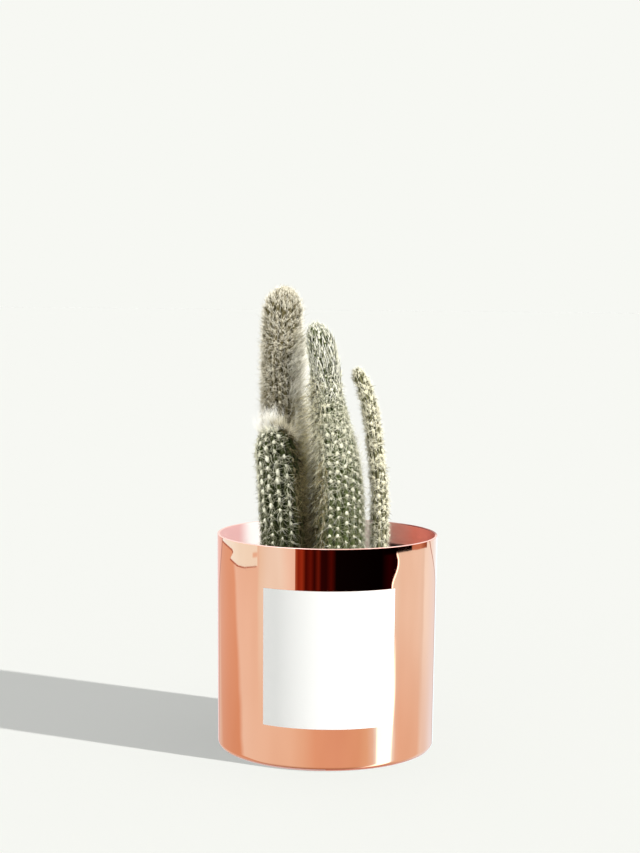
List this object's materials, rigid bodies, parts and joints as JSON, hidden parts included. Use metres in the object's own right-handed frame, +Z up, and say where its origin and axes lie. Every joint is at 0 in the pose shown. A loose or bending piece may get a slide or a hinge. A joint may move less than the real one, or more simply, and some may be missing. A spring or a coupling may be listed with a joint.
{
  "type": "potted columnar cactus",
  "caption": "Bristly columnar cactus of several ribbed stems, rooted in soil in a polished copper cup-shaped pot with a blank square paper label.",
  "frame": {"origin": "middle of the underside of the pot, on the surface that it stands on", "axes": "+Z up, -Y towards the front of the pot with the label, +X to the right as seen from the front"},
  "size_m": [0.12, 0.1205, 0.2539],
  "materials": {
    "polished_copper": "mirror polished, warm rose copper",
    "label_paper": "matt white paper, blank",
    "potting_soil": "loose dark crumbs with a few pale grains",
    "cactus_flesh": "green ribbed skin under white wool and straw-coloured bristles"
  },
  "bodies": {
    "root": {"pot": "polished_copper", "label": "label_paper", "soil": "potting_soil", "stem_back_tall": "cactus_flesh", "stem_front_short": "cactus_flesh", "stem_middle": "cactus_flesh", "stem_right_slim": "cactus_flesh"}
  },
  "joints": []
}
